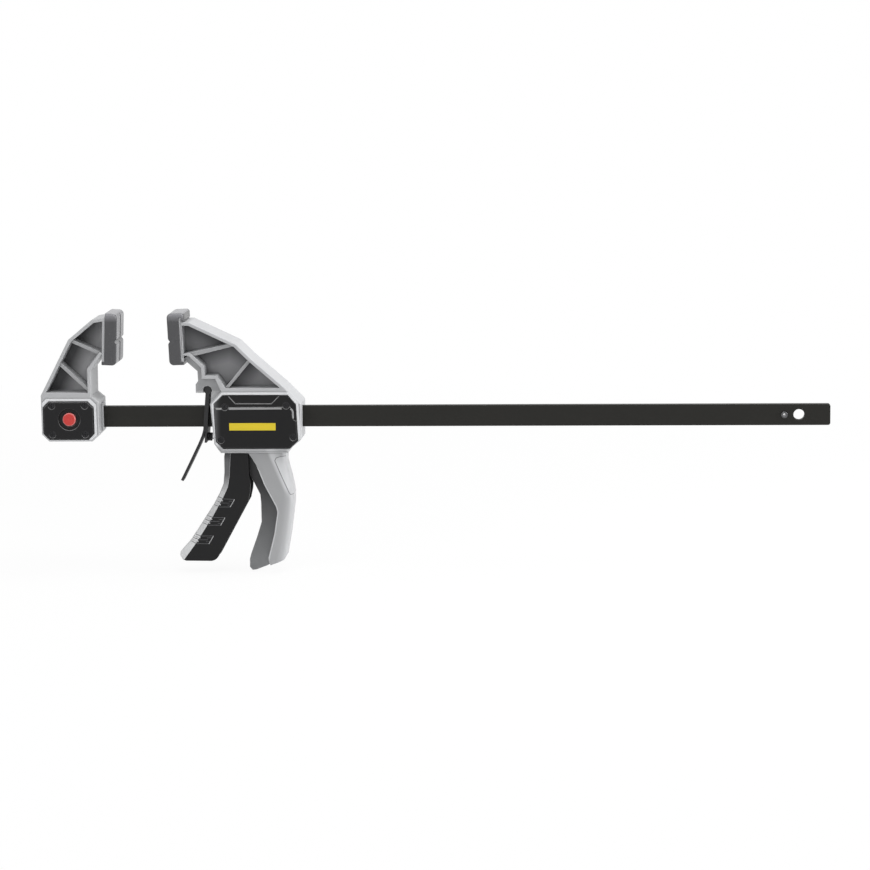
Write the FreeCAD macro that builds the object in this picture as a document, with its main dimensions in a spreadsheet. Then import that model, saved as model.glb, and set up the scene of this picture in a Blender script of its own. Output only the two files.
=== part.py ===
import FreeCAD, Part
import math
import os
import re

import Sketcher

# A one-hand bar clamp. X runs along the bar, away from the fixed jaw, Y across it and Z up.
# X is zero at the fixed pad's clamping face, and Y and Z are zero on the bar's centre line.

# Driving sizes in millimetres, and angles in degrees
SIZES = {
    # Bar and what crosses it
    "bar_length": 668.7,
    "bar_height": 18,
    "bar_thickness": 6,
    "bar_corner": 2,
    "bar_seat": 42.5,
    "bar_gap": 0.25,
    "bar_fit": 0.05,
    "hang_radius": 4.7,
    "hang_from_end": 26.6,
    "stop_radius": 2.7,
    "stop_from_end": 39,
    "stop_stand": 2,
    # Pads
    "pad_thickness": 10.4,
    "pad_height": 44.8,
    "pad_centre": 68.6,
    "pad_round": 1.9,
    "pad_corner": 4,
    "pad_notch_depth": 1.8,
    "pad_notch_mouth": 4.6,
    "pad_notch_low": 1.7,
    "pad_groove_depth": 1.6,
    "pad_groove_mouth": 3.4,
    "pad_lip": 2.4,
    "pad_hook": 3,
    "hook_gap": 0.8,
    "fixed_cant": 2.6,
    "moving_cant": 2,
    "opening": 44.2,
    # Mouldings common to both jaws
    "jaw_width": 37,
    "web": 5,
    "rim": 2.9,
    "rib": 2.6,
    "rib_drop": 2.4,
    "edge": 1.2,
    "face_drop": 0.6,
    "face_rim": 2.2,
    "plate_thickness": 2.2,
    "plate_rise": 18.4,
    "cover_plate": 3.2,
    "cover_proud": 0.5,
    "cover_gap": 0.15,
    "cover_edge": 0.9,
    "panel_drop": 0.8,
    "panel_sink": 0.5,
    "screw_radius": 1.5,
    "screw_length": 4.2,
    "screw_head": 2.7,
    "screw_head_height": 1.7,
    "screw_sink": 2.3,
    "screw_fit": 0.1,
    # Fixed jaw
    "fixed_reach": 57,
    "fixed_rise": 87.2,
    "block_setback": 17.5,
    "block_top": 19.9,
    "block_bottom": 19.4,
    "block_chamfer": 6.2,
    "block_side": 1.4,
    "block_front": 3.9,
    "block_upper": 4.1,
    "block_lower": 1.5,
    "block_corner": 5.3,
    "block_wall": 2.6,
    "block_core": 3,
    "collar_wall": 2.6,
    "collar_stand": 1.8,
    # Lock button through the block and the bar
    "button_setback": 43,
    "button_radius": 5.6,
    "button_stand": 1.5,
    "button_cap": 6,
    "button_gap": 0.4,
    "button_travel": 6.2,
    "button_mean": 4.4,
    "button_wire": 0.7,
    "tube_wall": 1.8,
    "stem_radius": 3.2,
    "stem_gap": 0.15,
    "neck_radius": 1.8,
    "seat_wall": 1.5,
    "stem_tail": 2.4,
    "clip_radius": 4.8,
    "clip_thickness": 1,
    "clip_seat": 2.3,
    "dish_radius": 9.4,
    "dish_depth": 1.6,
    # Head: moving arm, housing and handle
    "arm_reach": 102.7,
    "moving_rise": 83.5,
    "house_length": 78.2,
    "house_top": 23.6,
    "house_bottom": 29.8,
    "spine": 26,
    "notch_gap": 0.3,
    "boss_radius": 3.2,
    "boss_depth": 3.7,
    "lug_radius": 5.2,
    "grip_width": 32,
    "grip_round": 8,
    "grip_edge": 1.2,
    "grip_drop": 132,
    "tongue": 10,
    "slot_gap": 0.6,
    # Trigger
    "trigger_width": 22,
    "trigger_wall": 2.5,
    "trigger_drop": 125.4,
    "trigger_round": 2,
    "trigger_heel": 8,
    "pivot_ahead": 48.4,
    "pivot_height": 12.2,
    "pivot_radius": 2.1,
    "pivot_gap": 0.05,
    "hub_radius": 5,
    "nose_radius": 2.4,
    "nose_drop": 25.5,
    "nose_ahead": 3.7,
    "ridge_radius": 0.7,
    # Drive plates and their spring
    "drive_ahead": 54.9,
    "drive_thickness": 2.8,
    "drive_gap": 0.3,
    "drive_half": 8,
    "drive_reach": 16.4,
    "wound_mean": 11.4,
    "wound_wire": 1.6,
    "wound_room": 35,
    # Brake plate, release lever and their spring
    "eye_ahead": 22,
    "eye_height": 24,
    "eye_radius": 3.6,
    "brake_width": 21,
    "brake_thickness": 1.7,
    "brake_length": 46,
    "brake_lean": 5,
    "window_gap": 0.6,
    "lever_thickness": 1.6,
    "lever_width": 20,
    "lever_straight": 36,
    "tail_width": 11,
    "cup_radius": 3.6,
    "cup_wall": 0.8,
    "cup_drop": 41.9,
    "cup_length": 3.4,
    "cup_pocket": 4.5,
    "cup_pocket_depth": 2.9,
    "coil_mean": 2.1,
    "coil_wire": 0.6,
    "coil_room": 8.6,
    # How far a cut runs past what it cuts
    "overrun": 1,
}

doc = FreeCAD.newDocument("BarClamp")
sheet = doc.addObject("Spreadsheet::Sheet", "Sizes")
for row, (alias, number) in enumerate(SIZES.items(), 1):
    sheet.set(f"A{row}", alias)
    sheet.set(f"B{row}", str(number))
    sheet.setAlias(f"B{row}", alias)
doc.recompute()
pieces = []


def value(text):
    """Works an expression of sizes out."""
    return float(sheet.evalExpression(str(text)))


def linked(text):
    """Points an expression's sizes at the sheet, for a property of another object."""
    return re.sub(r"[a-z_]+", lambda word: f"Sizes.{word[0]}" if word[0] in SIZES else word[0], text)


def new_body(label):
    body = doc.addObject("PartDesign::Body", label)
    body.Label = label
    pieces.append(body)
    return body


def hold(sketch, constraint, text):
    """Adds a dimension, bound to its expression where it has one."""
    index = sketch.addConstraint(constraint)
    if isinstance(text, str):
        sketch.setExpression(f"Constraints[{index}]", linked(text))


def pin_point(sketch, geometry, corner, x, z):
    """Ties a point of a sketch to its distances from the sketch's origin."""
    for kind, text in (("DistanceX", x), ("DistanceY", z)):
        hold(sketch, Sketcher.Constraint(kind, -1, 1, geometry, corner, value(text)), text)


def draw_outline(sketch, points):
    spots = [FreeCAD.Vector(value(x), value(z), 0) for x, z in points]
    first = sketch.GeometryCount
    for start, end in zip(spots, spots[1:] + spots[:1]):
        sketch.addGeometry(Part.LineSegment(start, end))
    for index, (x, z) in enumerate(points):
        before = first + (index - 1) % len(points)
        sketch.addConstraint(Sketcher.Constraint("Coincident", before, 2, first + index, 1))
        pin_point(sketch, first + index, 1, x, z)


def draw_circle(sketch, x, z, radius):
    centre = FreeCAD.Vector(value(x), value(z), 0)
    index = sketch.addGeometry(Part.Circle(centre, FreeCAD.Vector(0, 0, 1), value(radius)))
    pin_point(sketch, index, 3, x, z)
    hold(sketch, Sketcher.Constraint("Radius", index, value(radius)), radius)


def profile(body, name, plane, loops, level):
    """A sketch on one of the body's planes, or off it. A loop is a list of corners or a circle."""
    sketch = body.newObject("Sketcher::SketchObject", name + "_sketch")
    origin_plane = next(item for item in body.Origin.OriginFeatures if item.Role == plane + "_Plane")
    sketch.AttachmentSupport = [(origin_plane, "")]
    sketch.MapMode = "FlatFace"
    if level is not None:
        sketch.setExpression("AttachmentOffset.Base.z", linked(str(level)))
    for loop in loops:
        if isinstance(loop, tuple):
            draw_circle(sketch, *loop)
        else:
            draw_outline(sketch, loop)
    return sketch


def extrude(body, name, loops, length, plane="XZ", level=None, cut=False, flip=False):
    """Pads or pockets a profile: to both sides alike, or to one side of a level."""
    before = body.Shape.Volume if body.Tip else 0
    sketch = profile(body, name, plane, loops, level)
    feature = body.newObject("PartDesign::Pocket" if cut else "PartDesign::Pad", name)
    feature.Profile = sketch
    feature.Midplane = level is None
    feature.Reversed = flip
    feature.setExpression("Length", linked(length))
    doc.recompute()
    change = body.Shape.Volume - before
    if cut and change >= 0 or not cut and change <= 0:
        raise RuntimeError(f"{name} changed the volume by {change}")


def both_sides(body, name, loops, depth, outer, cut=False):
    """The same profile worked inwards from the near and from the far side of a width."""
    half = f"({outer}) / 2"
    extrude(body, name + "_near", loops, depth, level=half, cut=cut, flip=not cut)
    extrude(body, name + "_far", loops, depth, level=f"-{half}", cut=cut, flip=cut)


def at_corners(spots, axis=1):
    """Picks the straight edges along an axis that stand at one of the spots."""
    targets = [(value(a), value(b)) for a, b in spots]
    across = [index for index in range(3) if index != axis]
    near = value("overrun") / 20

    def picked(edge):
        ends = [vertex.Point for vertex in edge.Vertexes]
        if len(ends) != 2 or abs(ends[0][axis] - ends[1][axis]) < near:
            return False
        return any(all(math.dist([end[i] for i in across], spot) < near for end in ends) for spot in targets)

    return picked


def in_plane(axis, place):
    """Picks the edges that lie in a plane across an axis."""
    at, near = value(place), value("overrun") / 20

    def picked(edge):
        box = edge.BoundBox
        low, high = ((box.XMin, box.XMax), (box.YMin, box.YMax), (box.ZMin, box.ZMax))[axis]
        return abs(low - at) < near and abs(high - at) < near

    return picked


def soften(body, name, size, picked, kind="Fillet"):
    """Rounds or chamfers the edges that are picked."""
    names = [f"Edge{number}" for number, edge in enumerate(body.Shape.Edges, 1) if picked(edge)]
    if not names:
        raise RuntimeError(f"{name} found no edge")
    tip = body.Tip
    feature = body.newObject("PartDesign::" + kind, name)
    feature.Base = (tip, names)
    feature.setExpression("Radius" if kind == "Fillet" else "Size", linked(size))
    doc.recompute()
    if "Invalid" in feature.State or not feature.Shape.isValid():
        raise RuntimeError(f"{name} failed on {len(names)} edges")


def inset(points, margins):
    """Moves each side of an outline inwards by its margin. A side runs from its point to the next."""
    spots = [(value(x), value(z)) for x, z in points]
    area = sum(a[0] * b[1] - b[0] * a[1] for a, b in zip(spots, spots[1:] + spots[:1]))
    sides = []
    for start, end, margin in zip(spots, spots[1:] + spots[:1], margins):
        run = (end[0] - start[0], end[1] - start[1])
        share = value(margin) * math.copysign(1, area) / math.hypot(*run)
        sides.append((start[0] - run[1] * share, start[1] + run[0] * share, *run))
    corners = []
    for (ax, az, au, aw), (bx, bz, bu, bw) in zip(sides[-1:] + sides[:-1], sides):
        along = ((bx - ax) * bw - (bz - az) * bu) / (au * bw - aw * bu)
        corners.append((ax + au * along, az + aw * along))
    return corners


def leaning(face, along, up, cant):
    """A point given along and up a jaw's leaning face, seen from the middle of that face."""
    x = f"{face} + ({along}) * cos({cant}) + ({up}) * sin({cant})"
    return (x, f"pad_centre - ({along}) * sin({cant}) + ({up}) * cos({cant})")


def biarc(start, start_run, end, end_run):
    """Two arcs that join two points and keep their directions."""
    gap = end - start
    runs = start_run + end_run
    spread = 2 * (1 - start_run.dot(end_run))
    reach = (-gap.dot(runs) + math.sqrt(gap.dot(runs) ** 2 + spread * gap.dot(gap))) / spread
    middle = (start + end + (start_run - end_run) * reach) / 2
    arcs = []
    for a, corner, b in ((start, start + start_run * reach, middle), (middle, end - end_run * reach, end)):
        chord = (a + b) / 2
        lean = (a - chord).Length / (a - corner).Length
        top = chord + (corner - chord) * (lean / (1 + lean))
        arcs.append(Part.Arc(a, top, b).toShape())
    return arcs


def coil(label, length, mean, wire, turns):
    """A compression spring along +X from the origin, as one unbroken tube."""
    rise = length / turns

    def spot(step):
        angle = math.pi * step
        return FreeCAD.Vector(rise * step / 2, mean * math.cos(angle), mean * math.sin(angle))

    def heading(step):
        angle = math.pi * step
        slope = rise / (2 * math.pi)
        return FreeCAD.Vector(slope, -mean * math.sin(angle), mean * math.cos(angle)).normalize()

    arcs = []
    for step in range(turns * 2):
        arcs += biarc(spot(step), heading(step), spot(step + 1), heading(step + 1))
    start = Part.Wire(Part.Circle(spot(0), heading(0), wire / 2).toShape())
    tube = Part.Wire(arcs).makePipeShell([start], True, False)
    around = 2 * math.pi * mean
    print(f"{label}: least gap between turns {rise * around / math.hypot(rise, around) - wire:.2f} mm")
    return tube


def make_spring(label, room, mean, wire, turns, corner, turn=None):
    """A spring in its room, clear of both ends by the wire's radius and a little more."""
    thick, gap = value(wire), value("overrun") / 10
    feature = doc.addObject("Part::Feature", label)
    feature.Label = label
    feature.Shape = coil(label, value(room) - thick - 2 * gap, value(mean), thick, turns)
    turned = turn or FreeCAD.Rotation()
    start = FreeCAD.Vector(*[value(part) for part in corner])
    spot = start + turned.multVec(FreeCAD.Vector(thick / 2 + gap, 0, 0))
    feature.Placement = FreeCAD.Placement(spot, turned)
    pieces.append(feature)


# Places along the bar
BAR_BACK = "-(block_setback + bar_seat)"
BAR_END = f"({BAR_BACK} + bar_length)"
BAR_TOP = "bar_height / 2"
BUTTON = "-button_setback"
BLOCK_BACK = "(-pad_thickness - fixed_reach)"
BLOCK_FRONT = "-block_setback"
HEAD_FACE = "(opening + pad_thickness)"
HOUSE_BACK = "(opening + pad_thickness + arm_reach)"
HOUSE_FRONT = f"({HOUSE_BACK} - house_length)"
PIVOT = f"({HEAD_FACE} + pivot_ahead)"
EYE = f"({HEAD_FACE} + eye_ahead)"
DRIVE = f"({HEAD_FACE} + drive_ahead)"
INNER_WIDTH = "(jaw_width - 2 * cover_plate)"


def make_bar():
    """The flat bar, with its hanging hole, the stop pin's hole and the lock's keyway."""
    body = new_body("bar")
    blank = [(BAR_BACK, f"-{BAR_TOP}"), (BAR_END, f"-{BAR_TOP}"), (BAR_END, BAR_TOP), (BAR_BACK, BAR_TOP)]
    extrude(body, "bar_blank", [blank], "bar_thickness")
    hang = (f"{BAR_END} - hang_from_end", "0", "hang_radius")
    stop = (f"{BAR_END} - stop_from_end", "0", "stop_radius")
    lock = (BUTTON, "0", "stem_radius + stem_gap")
    extrude(body, "bar_holes", [hang, stop, lock], "bar_thickness + overrun", cut=True)
    neck, mouth = "neck_radius + stem_gap", f"{BAR_BACK} - overrun"
    keyway = [(mouth, f"-({neck})"), (BUTTON, f"-({neck})"), (BUTTON, neck), (mouth, neck)]
    extrude(body, "bar_keyway", [keyway], "bar_thickness + overrun", cut=True)
    soften(body, "bar_corners", "bar_corner", at_corners([(BAR_END, f"-{BAR_TOP}"), (BAR_END, BAR_TOP)]))


def make_stop_pin():
    """A rolled pin, driven through the bar."""
    body = new_body("stop_pin")
    at = f"{BAR_END} - stop_from_end"
    loops = [(at, "0", "stop_radius"), (at, "0", "stop_radius * 0.45")]
    extrude(body, "stop_pin_roll", loops, "bar_thickness + 2 * stop_stand")


# The fixed arm's corners, in shares of its reach behind the pad and of its rise over the bar
FIXED_ARM_SHARES = {
    "heel": (1.0, 0.235),
    "shoulder": (0.555, 0.79),
    "crown": (0.185, 0.988),
    "chin": (0.048, 0.64),
    "throat": (0.228, 0.49),
    "root": (0.232, 0.262),
    "rib_foot": (0.735, 0.572),
}


def fixed_spot(name):
    along, up = FIXED_ARM_SHARES[name]
    return (f"-pad_thickness - fixed_reach * {along}", f"fixed_rise * {up}")


def plate(face, side, cant):
    """Corners of the end plate that carries a pad, from low at its back round to high."""
    back, front = f"{side} * (pad_thickness + plate_thickness)", f"{side} * pad_thickness"
    low, high = "-(plate_rise + overrun)", "plate_rise"
    corners = ((back, low), (front, low), (front, high), (back, high))
    return [leaning(face, along, up, cant) for along, up in corners]


def fixed_outline():
    block = [
        (BLOCK_BACK, "-block_bottom + block_chamfer"),
        (f"{BLOCK_BACK} + block_chamfer", "-block_bottom"),
        (f"{BLOCK_FRONT} - block_chamfer", "-block_bottom"),
        (BLOCK_FRONT, "-block_bottom + block_chamfer"),
        (BLOCK_FRONT, "block_top - block_chamfer * 0.8"),
        (fixed_spot("root")[0], "block_top"),
    ]
    back = [fixed_spot(name) for name in ("crown", "shoulder", "heel")]
    return block + [fixed_spot("throat"), fixed_spot("chin")] + plate("0", "-1", "fixed_cant") + back


def octagon(left, right, low, top, corner):
    return [
        (left, f"{low} + {corner}"), (f"{left} + {corner}", low),
        (f"{right} - {corner}", low), (right, f"{low} + {corner}"),
        (right, f"{top} - {corner}"), (f"{right} - {corner}", top),
        (f"{left} + {corner}", top), (left, f"{top} - {corner}"),
    ]


def block_recess(gap):
    """The octagon of the block's cover, smaller all round by a gap."""
    left, right = f"({BLOCK_BACK} + block_side + {gap})", f"({BLOCK_FRONT} - block_front - {gap})"
    low, top = f"(-block_bottom + block_lower + {gap})", f"(block_top - block_upper - {gap})"
    return octagon(left, right, low, top, "block_corner")


def block_screws():
    left = f"{BLOCK_BACK} + block_side + block_corner * 1.5"
    right = f"{BLOCK_FRONT} - block_front - block_corner * 1.5"
    top = "block_top - block_upper - block_corner * 0.75"
    low = "-block_bottom + block_lower + block_corner * 0.9"
    return [(left, top), (right, top), (left, low), (right, low)]


def sink_cells(body, name, region, margins, cells):
    """Lowers an arm's faces between its rims, then sinks the cells between the ribs to the web."""
    both_sides(body, name + "_floor", [inset(region, margins)], "rib_drop", "jaw_width", cut=True)
    loops = [inset(points, sides) for points, sides in cells]
    both_sides(body, name + "_cells", loops, "(jaw_width - web) / 2", "jaw_width", cut=True)


def outer_edges(clear_of):
    """Picks the outlines of a frame's near and far faces, except round its end plate."""
    near, half = value("overrun") / 20, value("jaw_width") / 2
    start, end = sorted(value(place) for place in clear_of)
    low = value("block_top * 2")

    def picked(edge):
        box = edge.BoundBox
        flat = box.YLength < near and abs(abs(box.YMin) - half) < near
        return flat and not (box.Center.z > low and start < box.Center.x < end)

    return picked


def raise_rim(body, name, rim):
    """Lowers a frame's near and far faces all round a rim that stays proud."""
    box = body.Shape.BoundBox
    far = value("overrun")
    left, right, low, top = box.XMin - far, box.XMax + far, box.ZMin - far, box.ZMax + far
    around = [(left, low), (right, low), (right, top), (left, top)]
    both_sides(body, name, [around, rim], "face_drop", "jaw_width", cut=True)


def make_fixed_frame():
    """The fixed jaw's moulding: a ribbed arm on a block that holds the bar's end."""
    body = new_body("fixed_jaw_frame")
    extrude(body, "fixed_casting", [fixed_outline()], "jaw_width")
    corners = [fixed_spot("shoulder"), fixed_spot("crown"), fixed_spot("throat")]
    soften(body, "fixed_rounding", "rim", at_corners(corners))
    plate_zone = ("0", "-(pad_thickness + plate_thickness + edge)")
    soften(body, "fixed_edges", "edge", outer_edges(plate_zone), "Chamfer")
    raise_rim(body, "fixed_faces", block_recess("-face_rim"))
    heel, shoulder, crown = fixed_spot("heel"), fixed_spot("shoulder"), fixed_spot("crown")
    chin, throat, root = fixed_spot("chin"), fixed_spot("throat"), fixed_spot("root")
    foot, half = fixed_spot("rib_foot"), "rib / 2"
    base, high = (root[0], "block_top"), plate("0", "-1", "fixed_cant")[3]
    region = [heel, base, throat, chin, high, crown, shoulder]
    margins = ["rim", "rim", "rim", "0", "rim", "rim", "rim"]
    cells = [
        ([shoulder, chin, high, crown], [half, "0", "rim", "rim"]),
        ([shoulder, foot, root, throat, chin], ["rim", half, "rim", "rim", half]),
        ([foot, heel, base, root], ["rim", "rim", "rim", half]),
    ]
    sink_cells(body, "fixed", region, margins, cells)
    both_sides(body, "fixed_recess", [block_recess("0")], "cover_plate", "jaw_width", cut=True)
    tube = (BUTTON, "0", "button_radius + button_gap + tube_wall")
    depth = f"({INNER_WIDTH} - bar_thickness) / 2 - block_core"
    both_sides(body, "fixed_core", [block_recess("block_wall"), tube], depth, INNER_WIDTH, cut=True)
    bosses = [(x, z, "boss_radius") for x, z in block_screws()]
    both_sides(body, "fixed_bosses", bosses, depth, INNER_WIDTH)
    wide, tall = "(bar_thickness / 2 + collar_wall)", f"({BAR_TOP} + collar_wall)"
    ring = [(f"-{wide}", f"-{tall}"), (wide, f"-{tall}"), (wide, tall), (f"-{wide}", tall)]
    extrude(body, "fixed_collar", [ring], "collar_stand", plane="YZ", level=BLOCK_FRONT)
    top, blind = f"{BAR_TOP} + bar_fit", f"{BAR_BACK} - bar_fit"
    mouth = f"{BLOCK_FRONT} + collar_stand + overrun"
    socket = [(blind, f"-({top})"), (mouth, f"-({top})"), (mouth, top), (blind, top)]
    extrude(body, "fixed_socket", [socket], "bar_thickness + 2 * bar_fit", cut=True)
    extrude(body, "fixed_stem_hole", [(BUTTON, "0", "stem_radius + stem_gap")], INNER_WIDTH, cut=True)
    well, round_well = f"({INNER_WIDTH} - bar_thickness) / 2 - seat_wall", "button_radius + button_gap"
    both_sides(body, "fixed_well", [(BUTTON, "0", round_well)], well, INNER_WIDTH, cut=True)
    holes = [(x, z, "screw_radius") for x, z in block_screws()]
    both_sides(body, "fixed_screw_holes", holes, "screw_sink + screw_length", "jaw_width", cut=True)


def make_cover(label, outline, far, screws, dish=None):
    """A cover that fills its recess and stands a little proud, with a chamfered edge."""
    body = new_body(label)
    side, through = "-" if far else "", "cover_plate + overrun"
    inner, outer = f"{side}(jaw_width / 2 - cover_plate)", f"{side}(jaw_width / 2 + cover_proud)"
    extrude(body, label + "_plate", [outline], "cover_plate + cover_proud", level=inner, flip=far)
    face = "jaw_width / 2 + cover_proud" if far else "-(jaw_width / 2 + cover_proud)"
    soften(body, label + "_edge", "cover_edge", in_plane(1, face), "Chamfer")
    sinks = [(x, z, "screw_head + screw_fit") for x, z in screws]
    extrude(body, label + "_sinks", sinks, "screw_sink + cover_proud", level=outer, cut=True, flip=far)
    holes = [(x, z, "screw_radius + screw_fit") for x, z in screws]
    extrude(body, label + "_holes", holes, through, level=outer, cut=True, flip=far)
    if dish:
        x, z, radius, depth, hole = dish
        extrude(body, label + "_dish", [(x, z, radius)], depth, level=outer, cut=True, flip=far)
        extrude(body, label + "_hole", [(x, z, hole)], through, level=outer, cut=True, flip=far)


# The head cover's upper band and the tray in it, in shares of the housing's length and height
BAND_SHARES = [
    (-0.1, 0.407), (0.884, 0.441), (0.92, 0.322), (0.918, -0.017), (1.1, -0.3), (1.1, 1.2), (-0.1, 1.2),
]
TRAY_SHARES = [(0.203, 0.87), (0.285, 0.559), (0.682, 0.555), (0.769, 0.864)]


def panel_cover(far):
    """Lowers the upper band of a head cover, and sinks a tray in it."""
    body, side = pieces[-1], "-" if far else ""
    outer = f"{side}(jaw_width / 2 + cover_proud)"
    band = [house_spot(*share) for share in BAND_SHARES]
    extrude(body, body.Label + "_band", [band], "panel_drop", level=outer, cut=True, flip=far)
    tray = [house_spot(*share) for share in TRAY_SHARES]
    depth = "panel_drop + panel_sink"
    extrude(body, body.Label + "_tray", [tray], depth, level=outer, cut=True, flip=far)


def make_box(name, corner, size):
    """A box from its low corner and its three lengths."""
    box = doc.addObject("Part::Box", name)
    for axis, side, at, length in zip("xyz", ("Length", "Width", "Height"), corner, size):
        box.setExpression("Placement.Base." + axis, linked(at))
        box.setExpression(side, linked(length))
    return box


def make_round(name, radius, height, base):
    """A cylinder along Z from its base."""
    cylinder = doc.addObject("Part::Cylinder", name)
    cylinder.setExpression("Radius", linked(radius))
    cylinder.setExpression("Height", linked(height))
    cylinder.setExpression("Placement.Base.z", linked(base))
    return cylinder


def join(kind, label, shapes):
    group = doc.addObject("Part::" + kind, label)
    group.Label = label
    if kind == "Compound":
        group.Links = shapes
    elif kind == "Cut":
        group.Base, group.Tool = shapes
    else:
        group.Shapes = shapes
    return group


def make_screws(label, places):
    """Screws with a crossed recess, in the near and the far cover, as separate solids."""
    screws = []
    seat = "(jaw_width / 2 - screw_sink)"
    for name, turn, depth in (("near", 90, f"-{seat}"), ("far", -90, seat)):
        for number, (x, z) in enumerate(places, 1):
            tag = f"{label}_{name}_{number}"
            shank = make_round(tag + "_shank", "screw_radius", "screw_length", "-screw_length + overrun / 2")
            head = make_round(tag + "_head", "screw_head", "screw_head_height", "0")
            long, short, deep = "screw_head * 1.3", "screw_head * 0.3", "screw_head_height"
            end, side, low = "-screw_head * 0.65", "-screw_head * 0.15", "screw_head_height * 0.4"
            slot = make_box(tag + "_slot", (end, side, low), (long, short, deep))
            cross = make_box(tag + "_cross", (side, end, low), (short, long, deep))
            blank = join("MultiFuse", tag + "_blank", [shank, head])
            recess = join("MultiFuse", tag + "_recess", [slot, cross])
            screw = join("Cut", tag, (blank, recess))
            upright = FreeCAD.Rotation(FreeCAD.Vector(1, 0, 0), turn)
            screw.Placement = FreeCAD.Placement(FreeCAD.Vector(), upright)
            for axis, at in (("x", x), ("y", depth), ("z", z)):
                screw.setExpression("Placement.Base." + axis, linked(at))
            screws.append(screw)
    pieces.append(join("Compound", label, screws))


def pad_edge(edge):
    """Picks a pad's outline on its near and far flanks, at the clamping face, the top and the bottom."""
    near, width, tall = value("overrun") / 20, value("jaw_width") / 2, value("pad_height") / 2
    box = edge.BoundBox
    flank = box.YLength < near and abs(abs(box.YMin) - width) < near
    face = abs(box.Center.x) < near
    end = box.XLength > near and (box.ZMax > tall - near or box.ZMin < near - tall)
    return flank and (face or end)


def make_pad(label, side, face, cant, hooked):
    """A clamping pad with crossed V grooves, which laps over the ends of its plate."""
    body = new_body(label)
    half, thick, back = "pad_height / 2", "pad_thickness", "(pad_thickness + plate_thickness)"
    notch, mouth = "-pad_notch_low", "pad_notch_mouth / 2"
    lower, lip = "-(plate_rise + overrun)", "(pad_thickness + plate_thickness + pad_lip)"
    outline = [("0", f"-{half}"), ("0", half)]
    if hooked:
        outline += [
            (f"-{lip}", half), (f"-{lip}", "plate_rise - pad_hook"), (f"-{back}", "plate_rise - pad_hook"),
            (f"-{back}", "plate_rise"), (f"-{thick}", "plate_rise"), (f"-{thick}", lower),
            (f"-{back}", lower), (f"-{back}", f"-{half}"),
        ]
    else:
        outline += [
            (f"-{thick}", half), (f"-{thick}", lower), (f"-{back}", lower), (f"-{back}", f"-{half}"),
        ]
    turned = [(f"{side} * ({x})", z) for x, z in outline]
    extrude(body, label + "_block", [turned], "jaw_width")
    soften(body, label + "_corners", "pad_corner", at_corners([("0", half), ("0", f"-{half}")]))
    if hooked:
        top = (f"{side} * -1 * {lip}", half)
        soften(body, label + "_hook", "pad_lip", at_corners([top]))
    soften(body, label + "_rounding", "pad_round", pad_edge)
    out, deep = f"{side} * overrun", f"{side} * -1 * pad_notch_depth"
    cut = [(out, f"{notch} - {mouth}"), ("0", f"{notch} - {mouth}"), (deep, notch),
           ("0", f"{notch} + {mouth}"), (out, f"{notch} + {mouth}")]
    extrude(body, label + "_notch", [cut], "jaw_width", cut=True)
    groove = "pad_groove_mouth / 2"
    bottom = f"{side} * -1 * pad_groove_depth"
    valley = [(out, groove), ("0", groove), (bottom, "0"), ("0", f"-{groove}"), (out, f"-{groove}")]
    extrude(body, label + "_groove", [valley], "pad_height + overrun", plane="XY", cut=True)
    body.Placement = FreeCAD.Placement(FreeCAD.Vector(), FreeCAD.Rotation(FreeCAD.Vector(0, 1, 0), 1))
    body.setExpression("Placement.Rotation.Angle", linked(cant))
    body.setExpression("Placement.Base.x", linked(face))
    body.setExpression("Placement.Base.z", linked("pad_centre"))


def make_lock_button():
    """The lock's button: a stem that fills the bar's hole and a neck that clears its keyway."""
    body = new_body("lock_button")
    outer, seat = "(jaw_width / 2 + button_stand)", "(bar_thickness / 2 + seat_wall)"
    extrude(body, "button_cap", [(BUTTON, "0", "button_radius")], "button_cap", level=outer, flip=True)
    start = f"({outer} - button_cap)"
    neck = "(bar_thickness / 2 + button_travel + stem_gap)"
    ledge = f"({seat} + stem_gap)"
    sections = [
        ("upper", "stem_radius", start, f"{start} - {neck}"),
        ("neck", "neck_radius", neck, "button_travel + stem_gap"),
        ("lower", "stem_radius", "bar_thickness / 2", f"{ledge} + bar_thickness / 2"),
        ("seat", "clip_seat", f"-{ledge}", "clip_thickness"),
        ("tail", "stem_radius", f"-({ledge} + clip_thickness)", "stem_tail"),
    ]
    for name, radius, level, length in sections:
        extrude(body, "button_" + name, [(BUTTON, "0", radius)], length, level=level, flip=True)
    soften(body, "button_edge", "button_stand * 0.7", in_plane(1, f"-{outer}"))


def make_button_clip():
    body = new_body("button_clip")
    level = "-(bar_thickness / 2 + seat_wall + stem_gap)"
    ring = [(BUTTON, "0", "clip_radius"), (BUTTON, "0", "clip_seat")]
    extrude(body, "clip_ring", ring, "clip_thickness", level=level, flip=True)
    mouth = [(BUTTON, "clip_seat * 0.2"), (f"{BUTTON} + clip_seat", "clip_radius * 1.2"),
             (f"{BUTTON} - clip_seat", "clip_radius * 1.2")]
    extrude(body, "clip_mouth", [mouth], "jaw_width", cut=True)


# The moving arm's corners, in shares of its reach behind the pad and of its rise over the bar
HEAD_ARM_SHARES = {
    "crown": (0.078, 1.0),
    "bend": (0.468, 0.772),
    "elbow": (0.59, 0.622),
    "ankle": (0.845, 0.347),
    "hollow_end": (0.325, 0.306),
    "hollow_rim": (0.287, 0.413),
    "hollow_root": (0.173, 0.413),
    "hollow_top": (0.169, 0.532),
    "chin": (0.068, 0.652),
    "hip": (0.358, 0.283),
    "shelf": (0.897, 0.283),
}

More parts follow.
